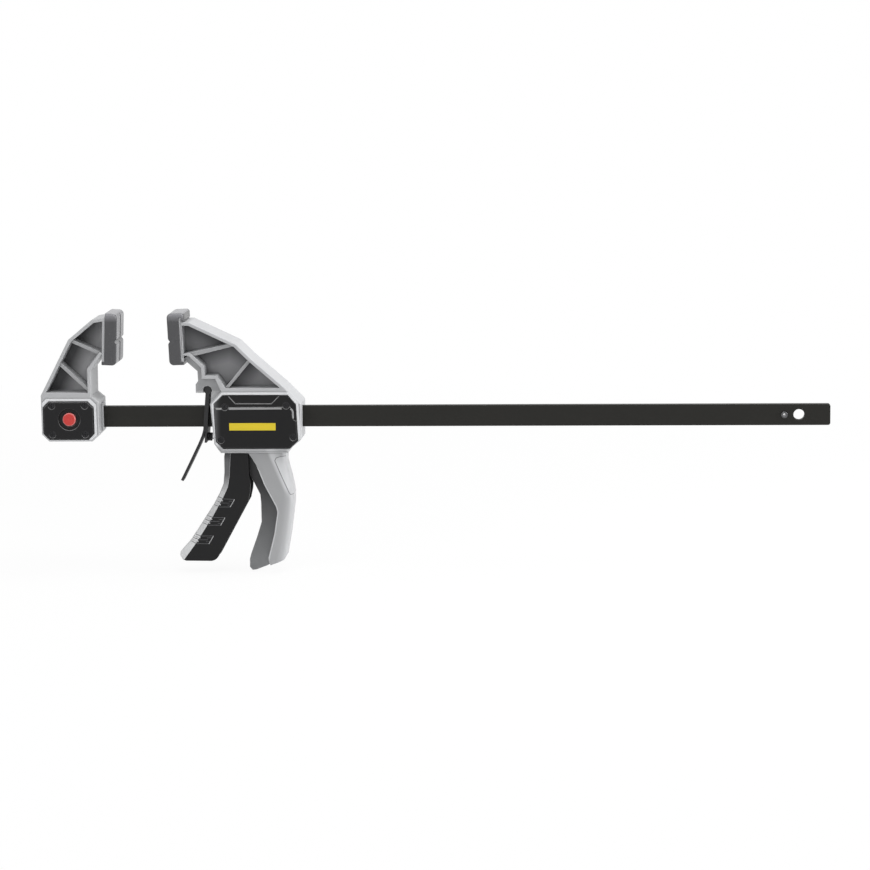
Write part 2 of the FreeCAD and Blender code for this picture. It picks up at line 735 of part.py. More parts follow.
# The housing's corners, in shares of its length and of its rise over or its drop under the bar
HOUSE_SHARES = [
    (1.0, 0.547), (0.995, -0.617), (0.857, -0.923), (0.854, -1.0),
    (0.107, -1.0), (0.038, -0.74), (0.0, 0.55), (0.126, 1.0),
]
HOUSE_COVER_SHARES = [
    (0.04, 0.555), (0.142, 0.885), (0.862, 0.88), (0.95, 0.53),
    (0.967, -0.64), (0.872, -0.875), (0.137, -0.875), (0.055, -0.66),
]
HOUSE_HOLLOW_SHARES = [
    (0.08, 0.53), (0.141, 0.75), (0.836, 0.75), (0.915, 0.56),
    (0.93, -0.605), (0.858, -0.79), (0.151, -0.79), (0.09, -0.625),
]
HOUSE_SCREW_SHARES = [(0.165, 0.437), (0.84, 0.483), (0.114, -0.614), (0.912, -0.54)]

# The handle's and the trigger's corners, in shares of the housing's length and of their own drop
GRIP_SHARES = {
    "top_front": (0.375, 0.2),
    "neck": (0.446, 0.26),
    "knee": (0.484, 0.298),
    "shin": (0.577, 0.443),
    "belly": (0.7, 0.585),
    "hold": (0.715, 0.62),
    "calf": (0.674, 0.769),
    "ankle": (0.604, 0.925),
    "toe": (0.61, 0.948),
    "sole": (0.628, 0.973),
    "heel": (0.775, 0.942),
    "heel_top": (0.797, 0.92),
    "palm_low": (0.844, 0.767),
    "palm": (0.892, 0.558),
    "palm_high": (0.887, 0.474),
    "wrist": (0.86, 0.397),
    "wrist_top": (0.816, 0.29),
    "top_back": (0.823, 0.2),
}
TONGUE_SHARES = [
    (0.4, 0.2), (0.4, 0.378), (0.512, 0.515), (0.52, 0.573), (0.52, 0.7), (0.472, 0.789), (0.398, 0.909),
    (0.381, 0.945), (0.38, 0.999), (0.41, 1.02), (0.454, 1.017), (0.574, 0.99), (0.7, 0.95), (0.75, 0.7),
    (0.75, 0.2),
]
WINDOW_SHARES = [
    (0.088, 0.16), (0.638, 0.16), (0.638, 0.222), (0.66, 0.25), (0.66, 0.5), (0.5, 0.6), (0.3, 0.6),
    (0.088, 0.3),
]

# The spine's corners about the brake's hinge, in shares of the hinge's radius
SPINE_SHARES = [
    (-2.3, 4.67), (-2.2, 2.27), (-2.8, 1.47), (-2.8, -0.58), (3.7, -0.58), (3.56, 0.5), (2.31, 3.31),
    (-0.89, 3.31), (-0.89, 5.83), (-3.83, 8.72),
]


def head_spot(name):
    along, up = HEAD_ARM_SHARES[name]
    return (f"{HEAD_FACE} + arm_reach * {along}", f"moving_rise * {up}")


def house_spot(along, up):
    return (f"{HOUSE_FRONT} + house_length * {along}", f"{'house_top' if up > 0 else 'house_bottom'} * {up}")


def grip_spot(along, up):
    return (f"{HOUSE_FRONT} + house_length * {along}", f"-grip_drop * {up}")


def trigger_spot(along, up):
    return (f"{HOUSE_FRONT} + house_length * {along}", f"-trigger_drop * {up}")


def head_plate():
    return plate("opening", "1", "-moving_cant")


def plate_lip():
    """Where the arm's lower rim leaves the moving jaw's end plate."""
    return leaning("opening", "pad_thickness + plate_thickness", "-plate_rise * 0.77", "-moving_cant")


def plate_step():
    """Where the arm's back meets the moving jaw's end plate, under the pad's hook."""
    up = "plate_rise - pad_hook - hook_gap"
    return leaning("opening", "pad_thickness + plate_thickness", up, "-moving_cant")


def head_outline():
    hollow = ("hollow_end", "hollow_rim", "hollow_root", "hollow_top", "chin")
    arm = [head_spot(name) for name in hollow] + [plate_lip()] + head_plate() + [plate_step()]
    back = [head_spot(name) for name in ("crown", "bend", "elbow", "ankle")]
    return arm + back + [house_spot(*share) for share in HOUSE_SHARES]


def house_recess(gap):
    """The outline of the housing's cover, smaller all round by a gap."""
    points = [house_spot(*share) for share in HOUSE_COVER_SHARES]
    return inset(points, [gap] * len(points))


def house_screws():
    return [house_spot(*share) for share in HOUSE_SCREW_SHARES]


def screw_gusset(x, z, share_x, share_z):
    """A rectangle round a screw that reaches into the walls next to it."""
    back_x, back_z = math.copysign(1, share_x), math.copysign(1, share_z)
    near = [f"{x} - boss_radius * {back_x}", f"{z} - boss_radius * {back_z}"]
    far = [f"{x} + boss_radius * {share_x}", f"{z} + boss_radius * {share_z}"]
    return [(near[0], near[1]), (far[0], near[1]), (far[0], far[1]), (near[0], far[1])]


def grip_edges(first, last):
    """Picks the handle's outer edges between two shares of the housing's length."""
    near, half = value("overrun") / 20, value("grip_width") / 2
    start, end = [value(f"{HOUSE_FRONT} + house_length * {share}") for share in (first, last)]
    drop = value("grip_drop")

    def picked(edge):
        box = edge.BoundBox
        flat = box.YLength < near and abs(abs(box.YMin) - half) < near
        level = -0.93 * drop < box.Center.z < -0.3 * drop
        return flat and level and start < box.Center.x < end

    return picked


def make_handle(body):
    """The handle's thick back with its rounded palm side, on the head's body."""
    extrude(body, "grip_back", [[grip_spot(*share) for share in GRIP_SHARES.values()]], "grip_width")
    bends = {
        "wide": ("grip_round * 5", ("shin", "calf", "palm_low", "palm", "palm_high", "wrist")),
        "middle": ("grip_round", ("wrist_top", "belly", "hold")),
    }
    for name, (radius, corners) in bends.items():
        soften(body, "grip_" + name, radius, at_corners([grip_spot(*GRIP_SHARES[key]) for key in corners]))
    soften(body, "grip_palm", "grip_round", grip_edges(0.78, 1))
    soften(body, "grip_front", "grip_edge", grip_edges(0, 0.74), "Chamfer")


def make_head_frame():
    """The head's moulding: a ribbed arm, a hollow housing and the handle behind the trigger."""
    body = new_body("head_frame")
    extrude(body, "head_casting", [head_outline()], "jaw_width")
    corners = [head_spot("crown"), head_spot("bend"), head_spot("elbow")]
    soften(body, "head_rounding", "rim", at_corners(corners))
    plate_zone = ("opening", f"{HEAD_FACE} + plate_thickness + edge * 2")
    soften(body, "head_edges", "edge", outer_edges(plate_zone), "Chamfer")
    raise_rim(body, "head_faces", house_recess("-face_rim"))
    chin, hollow_top, root = head_spot("chin"), head_spot("hollow_top"), head_spot("hollow_root")
    rim_end, hip, shelf = head_spot("hollow_rim"), head_spot("hip"), head_spot("shelf")
    ankle, elbow = head_spot("ankle"), head_spot("elbow")
    bend, crown = head_spot("bend"), head_spot("crown")
    lip, step, half = plate_lip(), plate_step(), "rib / 2"
    region = [lip, chin, hollow_top, root, rim_end, hip, shelf, ankle, elbow, bend, crown, step]
    middle = [chin, hollow_top, root, rim_end, hip, elbow, bend]
    cells = [
        ([lip, bend, crown, step], [half, "rim", "rim", "0"]),
        (middle, ["rim", "rim", "rim", "rim", half, "rim", half]),
        ([hip, shelf, ankle, elbow], ["rim", "rim", "rim", half]),
    ]
    sink_cells(body, "head", region, ["rim"] * (len(region) - 1) + ["0"], cells)
    spine = [(f"{EYE} + eye_radius * {x}", f"eye_height + eye_radius * {z}") for x, z in SPINE_SHARES]
    start = leaning("opening", "pad_thickness + plate_thickness / 2", "-plate_rise * 0.95", "-moving_cant")
    extrude(body, "head_spine", [[start] + spine], "spine")
    make_handle(body)
    both_sides(body, "house_recess", [house_recess("0")], "cover_plate", "jaw_width", cut=True)
    hollow = [house_spot(*share) for share in HOUSE_HOLLOW_SHARES]
    extrude(body, "house_hollow", [hollow], INNER_WIDTH, cut=True)
    window = [grip_spot(*share) for share in WINDOW_SHARES]
    extrude(body, "house_window", [window], "trigger_width + 2 * slot_gap", cut=True)
    extrude(body, "house_tongue", [[grip_spot(*share) for share in TONGUE_SHARES]], "tongue")
    corners = ((-1.6, 1.6), (1.6, 1.6), (-0.9, -0.9), (0.9, -0.9))
    gussets = [screw_gusset(*spot, *shares) for spot, shares in zip(house_screws(), corners)]
    both_sides(body, "house_gussets", gussets, "boss_depth", INNER_WIDTH)
    low, top = "pivot_height - lug_radius * 0.9", "house_top * 0.8"
    left, right = f"{PIVOT} - lug_radius", f"{PIVOT} + lug_radius"
    lug = [(left, low), (right, low), (right, top), (left, top)]
    both_sides(body, "house_lug", [lug], "boss_depth", INNER_WIDTH)
    extrude(body, "house_pivot_hole", [(PIVOT, "pivot_height", "pivot_radius")], INNER_WIDTH, cut=True)
    holes = [(x, z, "screw_radius") for x, z in house_screws()]
    both_sides(body, "house_screw_holes", holes, "screw_sink + screw_length", "jaw_width", cut=True)
    clear = f"({BAR_TOP} + bar_gap)"
    front, back = f"{HOUSE_FRONT} - overrun", f"{HOUSE_BACK} + overrun"
    slot = [(front, f"-{clear}"), (back, f"-{clear}"), (back, clear), (front, clear)]
    extrude(body, "house_bar_slot", [slot], "bar_thickness + 2 * bar_gap", cut=True)
    extrude(body, "house_eye", [(EYE, "eye_height", "eye_radius + notch_gap")], "jaw_width", cut=True)
    pocket, level = ("0", "eye_height - cup_drop", "cup_pocket"), f"{HOUSE_FRONT} + house_length * 0.034"
    extrude(body, "house_cup_pocket", [pocket], "cup_pocket_depth + overrun", plane="YZ",
            level=f"{level} - overrun", cut=True, flip=True)


# The trigger's side and the inside of its channel, from the fork down the front and up the back
TRIGGER_SHARES = [
    (0.231, -0.097), (0.229, 0.064), (0.202, 0.175), (0.201, 0.267), (0.185, 0.411), (0.162, 0.486),
    (0.1, 0.567), (-0.014, 0.691), (-0.201, 0.873), (-0.345, 0.994), (-0.32, 1.0), (0.013, 1.002),
    (0.387, 0.58), (0.41, 0.517), (0.416, 0.473), (0.402, 0.392), (0.4, 0.27), (0.387, 0.112),
    (0.382, -0.097),
]
CHANNEL_SHARES = [
    (0.07, -0.21), (0.07, 0.271), (0.233, 0.287), (0.217, 0.415), (0.193, 0.494), (0.128, 0.577),
    (0.013, 0.703), (-0.212, 0.92), (-0.187, 0.976), (-0.072, 0.98), (-0.072, 1.04), (0.62, 1.04),
    (0.62, -0.21),
]
GRIP_STRIP_SHARES = [
    (0.152, 0.2), (0.129, 0.274), (0.128, 0.38), (0.115, 0.46), (0.072, 0.522), (0.0, 0.604),
    (-0.125, 0.723), (-0.271, 0.86), (-0.384, 0.937), (-0.385, 0.962), (-0.352, 0.996), (-0.345, 0.994),
    (-0.201, 0.873), (-0.014, 0.691), (0.1, 0.567), (0.162, 0.486), (0.185, 0.411), (0.201, 0.267),
    (0.202, 0.2),
]
RIDGE_SHARES = [
    (0.067, 0.53), (0.047, 0.554), (0.026, 0.577), (-0.069, 0.67), (-0.092, 0.692), (-0.115, 0.714),
    (-0.206, 0.801), (-0.23, 0.822), (-0.253, 0.844),
]


def make_trigger():
    """The trigger: a channel open to the handle, hung on its pivot by a fork with a nose across it."""
    body = new_body("trigger")
    extrude(body, "trigger_sides", [[trigger_spot(*share) for share in TRIGGER_SHARES]], "trigger_width")
    heel, *bends = [trigger_spot(*share) for share in TRIGGER_SHARES[11:16]]
    soften(body, "trigger_bends", "trigger_round", at_corners(bends))
    soften(body, "trigger_heel_round", "trigger_heel", at_corners([heel]))
    channel = [trigger_spot(*share) for share in CHANNEL_SHARES]
    extrude(body, "trigger_channel", [channel], "trigger_width - 2 * trigger_wall", cut=True)
    both_sides(body, "trigger_hub", [(PIVOT, "pivot_height", "hub_radius")], "trigger_wall", "trigger_width")
    hole = (PIVOT, "pivot_height", "pivot_radius + pivot_gap")
    extrude(body, "trigger_hole", [hole], "trigger_width", cut=True)
    nose = (f"{PIVOT} + nose_ahead", "pivot_height - nose_drop", "nose_radius")
    extrude(body, "trigger_nose", [nose], "trigger_width - trigger_wall")


def make_trigger_grip():
    """The light strip on the trigger's front, with three sets of grooves."""
    body = new_body("trigger_grip")
    extrude(body, "strip_block", [[trigger_spot(*share) for share in GRIP_STRIP_SHARES]], "trigger_width")
    front = [trigger_spot(*share) for share in GRIP_STRIP_SHARES[1:9]]
    half = value("trigger_width") / 2

    def front_edge(edge):
        near, box = value("overrun") / 20, edge.BoundBox
        spots = [(value(x), value(z)) for x, z in front]
        ends = [(vertex.Point.x, vertex.Point.z) for vertex in edge.Vertexes]
        flat = box.YLength < near and abs(abs(box.YMin) - half) < near
        return flat and all(any(math.dist(end, spot) < near for spot in spots) for end in ends)

    soften(body, "strip_rounding", "trigger_round * 0.8", front_edge)
    ridges = [(*trigger_spot(*share), "ridge_radius") for share in RIDGE_SHARES]
    extrude(body, "strip_ridges", ridges, "trigger_width", cut=True)


def make_pivot_pin():
    body = new_body("trigger_pivot_pin")
    rod = (PIVOT, "pivot_height", "pivot_radius")
    extrude(body, "pivot_pin_round", [rod], f"{INNER_WIDTH} - overrun / 5")


def make_drive_plates():
    """Two plates with the bar through them, which tilt on it and drag it along."""
    plates = []
    for number in range(2):
        start = f"{DRIVE} + {number} * (drive_thickness + drive_gap)"
        half, reach = "drive_half", "drive_reach"
        blank = make_box(f"drive_blank_{number}", (start, f"-{half}", f"-{reach}"),
                         ("drive_thickness", f"2 * {half}", f"2 * {reach}"))
        wide, tall = "(bar_thickness / 2 + bar_gap * 1.5)", f"({BAR_TOP} + bar_gap * 1.5)"
        window = make_box(f"drive_window_{number}", (f"{start} - overrun", f"-{wide}", f"-{tall}"),
                          ("drive_thickness + 2 * overrun", f"2 * {wide}", f"2 * {tall}"))
        plates.append(join("Cut", f"drive_plate_{number}", (blank, window)))
    pieces.append(join("Compound", "drive_plates", plates))


def hang_on_eye(body):
    """Turns a body made upright about its hinge to its resting lean."""
    body.Placement = FreeCAD.Placement(FreeCAD.Vector(), FreeCAD.Rotation(FreeCAD.Vector(0, 1, 0), 1))
    body.setExpression("Placement.Rotation.Angle", linked("brake_lean"))
    body.setExpression("Placement.Base.x", linked(EYE))
    body.setExpression("Placement.Base.z", linked("eye_height"))


def bar_window(body, name):
    wide = "(bar_thickness / 2 + bar_gap * 1.5)"
    top, low = f"-(eye_height - {BAR_TOP} - window_gap)", f"-(eye_height + {BAR_TOP} + window_gap)"
    window = [(f"-{wide}", low), (wide, low), (wide, top), (f"-{wide}", top)]
    extrude(body, name, [window], "jaw_width", plane="YZ", cut=True)


def make_brake_plate():
    """The plate that holds the head on the bar, hung in the frame by its round top edge."""
    body = new_body("brake_plate")
    low, top = "-brake_length", "-eye_radius / 2"
    skin = [("0", low), ("brake_thickness", low), ("brake_thickness", top), ("0", top)]
    extrude(body, "brake_skin", [skin], "brake_width")
    extrude(body, "brake_eye", [("0", "0", "eye_radius")], "brake_width")
    bar_window(body, "brake_window")
    hang_on_eye(body)


def make_release_lever():
    """The strip against the brake plate, whose tail curves out under the bar."""
    body = new_body("release_lever")
    thick, top = "lever_thickness", "-eye_radius * 1.02"
    strip = [("0", "-lever_straight"), ("0", top), (f"-{thick}", top), (f"-{thick}", "-lever_straight")]
    extrude(body, "lever_strip", [strip], "lever_width")
    path = [(0.0, 0.72), (-0.033, 0.89), (-0.091, 1.06), (-0.228, 1.413), (-0.374, 1.776)]
    right = [(f"brake_length * {x}", f"-brake_length * {z}") for x, z in path]
    lifts = (0, 0.1, 0.2, 0.3, 0.4)
    left = [(f"{x} - {thick}", f"{z} + {thick} * {lift}") for (x, z), lift in zip(right, lifts)]
    extrude(body, "lever_tail", [right + left[::-1]], "tail_width")
    soften(body, "lever_bends", "brake_length / 2", at_corners(right[1:4] + left[1:4]))
    bar_window(body, "lever_window")
    hang_on_eye(body)


def make_spring_cup():
    """The cup on the brake plate that keeps its spring in place."""
    body = new_body("brake_spring_cup")
    spot = ("0", "-cup_drop", "cup_radius")
    extrude(body, "cup_round", [spot], "cup_length", plane="YZ", level="brake_thickness")
    bore = ("0", "-cup_drop", "cup_radius - cup_wall")
    end = "brake_thickness + cup_length"
    extrude(body, "cup_bore", [bore], "cup_length - cup_wall", plane="YZ", level=end, cut=True)
    hang_on_eye(body)


def make_springs():
    """The drive spring round the bar, the brake's spring and the lock button's spring."""
    start = f"{DRIVE} + 2 * drive_thickness + drive_gap"
    make_spring("drive_spring", "wound_room", "wound_mean", "wound_wire", 7, (start, "0", "0"))
    stand = "(brake_thickness + cup_wall + coil_wire / 2)"
    x = f"{EYE} + {stand} * cos(brake_lean) - cup_drop * sin(brake_lean)"
    z = f"eye_height - {stand} * sin(brake_lean) - cup_drop * cos(brake_lean)"
    make_spring("brake_spring", "coil_room", "coil_mean", "coil_wire", 5, (x, "0", z))
    seat = "-(bar_thickness / 2 + seat_wall)"
    room = "jaw_width / 2 + button_stand - button_cap - bar_thickness / 2 - seat_wall"
    outwards = FreeCAD.Rotation(FreeCAD.Vector(0, 0, 1), -90)
    make_spring("button_spring", room, "button_mean", "button_wire", 4, (BUTTON, seat, "0"), outwards)


def write_parts():
    """Checks every object, then writes each piece to its own file."""
    doc.recompute()
    for item in doc.Objects:
        if "Invalid" in item.State or "Error" in item.State:
            raise RuntimeError(f"{item.Label} failed: {item.State}")
    os.makedirs("parts", exist_ok=True)
    for item in pieces:
        shape = item.Shape
        if shape.isNull() or not shape.isValid():
            raise RuntimeError(f"{item.Label} has no valid shape")
        shape.exportStep(f"parts/{item.Label}.step")
        print(f"{item.Label}: {len(shape.Solids)} solids, {shape.Volume:.0f} cubic mm")


make_bar()
make_stop_pin()
make_fixed_frame()
button_dish = (BUTTON, "0", "dish_radius", "dish_depth", "button_radius + button_gap")
make_cover("fixed_cover_front", block_recess("cover_gap"), False, block_screws(), button_dish)
make_cover("fixed_cover_back", block_recess("cover_gap"), True, block_screws())
make_screws("fixed_cover_screws", block_screws())
make_pad("fixed_jaw_pad", "1", "0", "fixed_cant", False)
make_lock_button()
make_button_clip()
make_head_frame()
make_cover("head_cover_front", house_recess("cover_gap"), False, house_screws())
panel_cover(False)
make_cover("head_cover_back", house_recess("cover_gap"), True, house_screws())
panel_cover(True)
make_screws("head_cover_screws", house_screws())
make_pad("moving_jaw_pad", "-1", "opening", "-moving_cant", True)
make_trigger()
make_trigger_grip()
make_pivot_pin()
make_drive_plates()
make_brake_plate()
make_release_lever()
make_spring_cup()
make_springs()
write_parts()
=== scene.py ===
import math

import bmesh
import bpy
from mathutils import Matrix, Vector
from mathutils.bvhtree import BVHTree


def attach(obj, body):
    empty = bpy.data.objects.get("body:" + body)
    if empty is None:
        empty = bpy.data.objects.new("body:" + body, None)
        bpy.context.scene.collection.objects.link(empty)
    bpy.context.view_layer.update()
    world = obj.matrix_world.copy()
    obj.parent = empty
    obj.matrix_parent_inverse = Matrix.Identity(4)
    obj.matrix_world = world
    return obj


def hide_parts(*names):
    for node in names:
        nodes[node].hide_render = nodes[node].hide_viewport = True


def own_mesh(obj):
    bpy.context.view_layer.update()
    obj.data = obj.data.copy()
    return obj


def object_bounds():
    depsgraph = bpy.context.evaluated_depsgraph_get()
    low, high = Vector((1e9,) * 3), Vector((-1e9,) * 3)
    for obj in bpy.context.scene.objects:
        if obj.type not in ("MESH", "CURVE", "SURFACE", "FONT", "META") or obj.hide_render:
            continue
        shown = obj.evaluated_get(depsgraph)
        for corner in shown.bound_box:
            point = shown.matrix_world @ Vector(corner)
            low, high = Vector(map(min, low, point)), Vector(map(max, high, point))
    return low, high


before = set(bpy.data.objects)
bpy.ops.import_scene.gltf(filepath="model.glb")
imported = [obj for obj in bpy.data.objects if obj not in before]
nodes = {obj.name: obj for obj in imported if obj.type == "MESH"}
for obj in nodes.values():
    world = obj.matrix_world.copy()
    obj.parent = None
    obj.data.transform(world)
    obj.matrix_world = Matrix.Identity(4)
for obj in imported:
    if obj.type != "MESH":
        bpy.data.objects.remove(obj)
cad_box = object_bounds()
scene = bpy.context.scene

MM = 0.001

# The photograph's camera, in the part's own frame: where it stands in mm, and its turns in radians
CAMERA_PLACE = (436.633, -2460.039, 371.17)
YAW, PITCH, ROLL = -0.06722, 0.15626, -0.01301

SIDES = ((-1, "near"), (1, "far"))
GREY = (0.46, 0.465, 0.475)
BLACK = (0.0065, 0.0065, 0.007)
PAD_GREY = (0.062, 0.062, 0.066)
SHEEN_GREY = (0.16, 0.16, 0.165)


def aim_camera():
    forward = Vector((math.sin(YAW) * math.cos(PITCH), math.cos(YAW) * math.cos(PITCH), -math.sin(PITCH)))
    level = Vector((math.cos(YAW), -math.sin(YAW), 0))
    upright = level.cross(forward)
    right = level * math.cos(ROLL) + upright * math.sin(ROLL)
    up = upright * math.cos(ROLL) - level * math.sin(ROLL)
    turn = Matrix((right, up, -forward)).transposed().to_4x4()
    turn.translation = Vector(CAMERA_PLACE) * MM
    data = bpy.data.cameras.new("camera")
    data.sensor_width, data.lens, data.clip_end = 36, 120, 50
    camera = bpy.data.objects.new("camera", data)
    scene.collection.objects.link(camera)
    camera.matrix_world = turn
    scene.camera = camera


def add_light(name, place, target, size, power):
    data = bpy.data.lights.new(name, "AREA")
    data.shape = "RECTANGLE"
    data.size, data.size_y = size
    data.energy = power
    lamp = bpy.data.objects.new(name, data)
    scene.collection.objects.link(lamp)
    lamp.location = place
    lamp.rotation_euler = (Vector(target) - Vector(place)).to_track_quat("-Z", "Y").to_euler()


class Graph:
    """Builds the nodes of a material or a world by name, and links sockets as they are given."""

    def __init__(self, owner):
        owner.use_nodes = True
        self.owner = owner
        self.tree = owner.node_tree
        self.shader = self.tree.nodes.get("Principled BSDF")

    def add(self, kind, inputs=None, **settings):
        node = self.tree.nodes.new("ShaderNode" + kind)
        for key, setting in settings.items():
            setattr(node, key, setting)
        for key, source in (inputs or {}).items():
            socket = node.inputs[key]
            if isinstance(source, bpy.types.NodeSocket):
                self.tree.links.new(source, socket)
            else:
                socket.default_value = source
        return node

    def link(self, source, key):
        self.tree.links.new(source, self.shader.inputs[key])

    def reckon(self, operation, first, second=None):
        """The answer of a sum of one or two numbers or sockets."""
        inputs = {0: first} if second is None else {0: first, 1: second}
        return self.add("Math", inputs, operation=operation).outputs[0]

    def times(self, first, *others):
        for other in others:
            first = self.reckon("MULTIPLY", first, other)
        return first

    def span(self, source, low, high, to_low=0.0, to_high=1.0):
        """Carries a value from the range low to high over to another range, and no further."""
        inputs = {"Value": source, "From Min": low, "From Max": high, "To Min": to_low, "To Max": to_high}
        return self.add("MapRange", inputs).outputs["Result"]

    def mix(self, factor, first, second):
        return self.add("Mix", {0: factor, 6: first, 7: second}, data_type="RGBA").outputs[2]

    def darken(self, colour, factor):
        return self.mix(factor, (0, 0, 0, 1), colour)

    def place(self):
        return self.add("TexCoord").outputs["Object"]

    def share(self, vector, axis):
        """A vector's part along X, Y or Z."""
        return self.add("SeparateXYZ", {"Vector": vector}).outputs[axis]

    def noise(self, scale, detail=3, rough=0.5, stretch=None):
        where = self.place()
        if stretch:
            where = self.add("Mapping", {"Vector": where, "Scale": stretch}).outputs["Vector"]
        inputs = {"Vector": where, "Scale": scale, "Detail": detail, "Roughness": rough}
        return self.add("TexNoise", inputs).outputs["Fac"]

    def below(self, line):
        """How far a point lies below a line in XZ, given by its X, Z and offset."""
        dot = self.add("VectorMath", {0: self.place(), 1: (line[0], 0, line[1])}, operation="DOT_PRODUCT")
        return self.reckon("ADD", dot.outputs["Value"], line[2])

    def heading(self, axis):
        """How far a face looks along one of the part's axes."""
        return self.share(self.add("TexCoord").outputs["Normal"], axis)

    def heading_either_way(self, axis):
        return self.reckon("ABSOLUTE", self.heading(axis))

    def facing(self):
        """1 on faces that look along Y, and 0 on those that look along X or Z."""
        return self.span(self.heading_either_way("Y"), 0.6, 0.85)

    def edges(self, radius):
        """The normals with edges rounded off, and a share near 1 along edges and 0 on open faces."""
        soft = self.add("Bevel", {"Radius": radius}, samples=6).outputs["Normal"]
        plain = self.add("NewGeometry").outputs["Normal"]
        dot = self.add("VectorMath", {0: soft, 1: plain}, operation="DOT_PRODUCT").outputs["Value"]
        return soft, self.span(dot, 0.995, 0.9)

    def open_share(self, distance):
        """1 on open faces and outer edges, and less in grooves and inner corners."""
        return self.add("AmbientOcclusion", {"Distance": distance}, samples=8, only_local=True).outputs["AO"]

    def gloss(self, source, low, high):
        """Roughness that goes from low to high with a noise."""
        self.link(self.span(source, 0.3, 0.7, low, high), "Roughness")

    def grain(self, height, strength, normal=None, distance=0.0002):
        """A fine grain, laid over other normals where they are given."""
        inputs = {"Height": height, "Strength": strength, "Distance": distance}
        if normal is not None:
            inputs["Normal"] = normal
        self.link(self.add("Bump", inputs).outputs["Normal"], "Normal")

    def plain_rays(self):
        """1 on the rays of the camera, and on those that mirrors and clear pieces send on."""
        rays = self.add("LightPath").outputs
        seen = self.reckon("MAXIMUM", rays["Is Camera Ray"], rays["Is Glossy Ray"])
        return self.reckon("MAXIMUM", seen, rays["Is Transmission Ray"])


def shade(colour):
    return (colour[0], colour[1], colour[2], 1.0)


def tone(colour, factor):
    return shade([min(1, part * factor) for part in colour])


def moulded(name, colour, rough, edge=1.25, radius=0.0006, specular=0.5, wear_and_highlight_colour=None, upward=False,
            sheen=None):
    """Moulded plastic: a fine grain, uneven colour and gloss, edges lighter partly from wear and partly as
    painted highlight, and painted shade in the grooves and corners.

    With upward, the painted highlight is strongest on the edges that look up. A painted sheen pales the faces
    from one value of X to another, where it is given.
    """
    mottle, corner_shade = 0.06, 0.55
    graph = Graph(bpy.data.materials.new(name))
    soft, rim = graph.edges(radius)
    body = graph.mix(graph.noise(35, 4, 0.6), tone(colour, 1 - mottle), tone(colour, 1 + mottle))
    # Painted shade: the body darkens in grooves and inner corners, by the ambient occlusion
    bare = graph.open_share(0.002)
    body = graph.mix(graph.span(bare, 0.35, 0.95), tone(colour, corner_shade), body)
    # Painted sheen: the faces pale from one value of X to another
    if sheen:
        near = graph.span(graph.share(graph.place(), "X"), *sheen)
        body = graph.mix(graph.times(near, near), body, shade(SHEEN_GREY))
    # Edges lighter partly from wear and partly as painted highlight
    wear_and_highlight = graph.times(rim, graph.span(graph.noise(220), 0.35, 0.65, 0.55, 1.0), graph.span(bare, 0.7, 0.95))
    # Painted highlight: with upward, the edges that look up stay lightest
    if upward:
        wear_and_highlight = graph.times(wear_and_highlight, graph.span(graph.share(soft, "Z"), -0.05, 0.45, 0.12, 1.0))
    graph.link(graph.mix(wear_and_highlight, body, shade(wear_and_highlight_colour or tone(colour, edge))), "Base Color")
    graph.gloss(graph.noise(90), rough - 0.05, rough + 0.06)
    graph.grain(graph.noise(1500, 2), 0.12, soft)
    graph.shader.inputs["Specular IOR Level"].default_value = specular
    return graph.owner


# The lines that cast painted shadow on a jaw's sunk web: each one's X, Z and offset give how far below it a
# point lies, in metres, and it shades only the points on the positive side of its gate, where it has one
FIXED_LINES = [
    ((0.86, -0.51, 0.0625), None),
    ((0.86, -0.51, 0.0595), (-0.732, -0.683, -0.0026)),
]
HEAD_LINES = [
    ((-0.4345, -0.9007, 0.0988), None),
    ((0.2278, -0.9737, 0.0398), (0.2278, -0.9737, 0.0398)),
    ((0.56, -0.85, -0.0232), (0.6998, -0.7145, -0.0441)),
]

# Where the colours of a jaw's frame change: each pair is where a share begins and where it is full, in
# metres. These go by height
ABOVE_BLOCK = (0.0225, 0.0245)
BELOW_ARM = (0.0240, 0.0236)
ABOVE_HANDLE = (-0.0245, -0.0215)
ON_HANDLE = (-0.023, -0.032)
DOWN_HANDLE = (-0.035, -0.110)
UNDER_HOUSE = (-0.027, -0.029)
UP_TONGUE = (-0.125, -0.058)
PALM_TOP = (-0.070, -0.060)

# These go by the distance from the middle of the frame's width
SUNK_FACE = (0.0168, 0.0164)
PROUD_BEAD = (0.0181, 0.0183)
DEEP_WEB = (0.0150, 0.0035)
TONGUE_FACE = (0.0056, 0.0052)

# The palm panel's front edge as a line in XZ, and how far from it the painted highlight along its ridge
# starts and ends
PALM_EDGE = (0.925, 0.382, -0.1097)
PALM_LIGHT_BEGINS = (-0.0038, -0.0015)
PALM_LIGHT_ENDS = (0.0075, 0.0010)


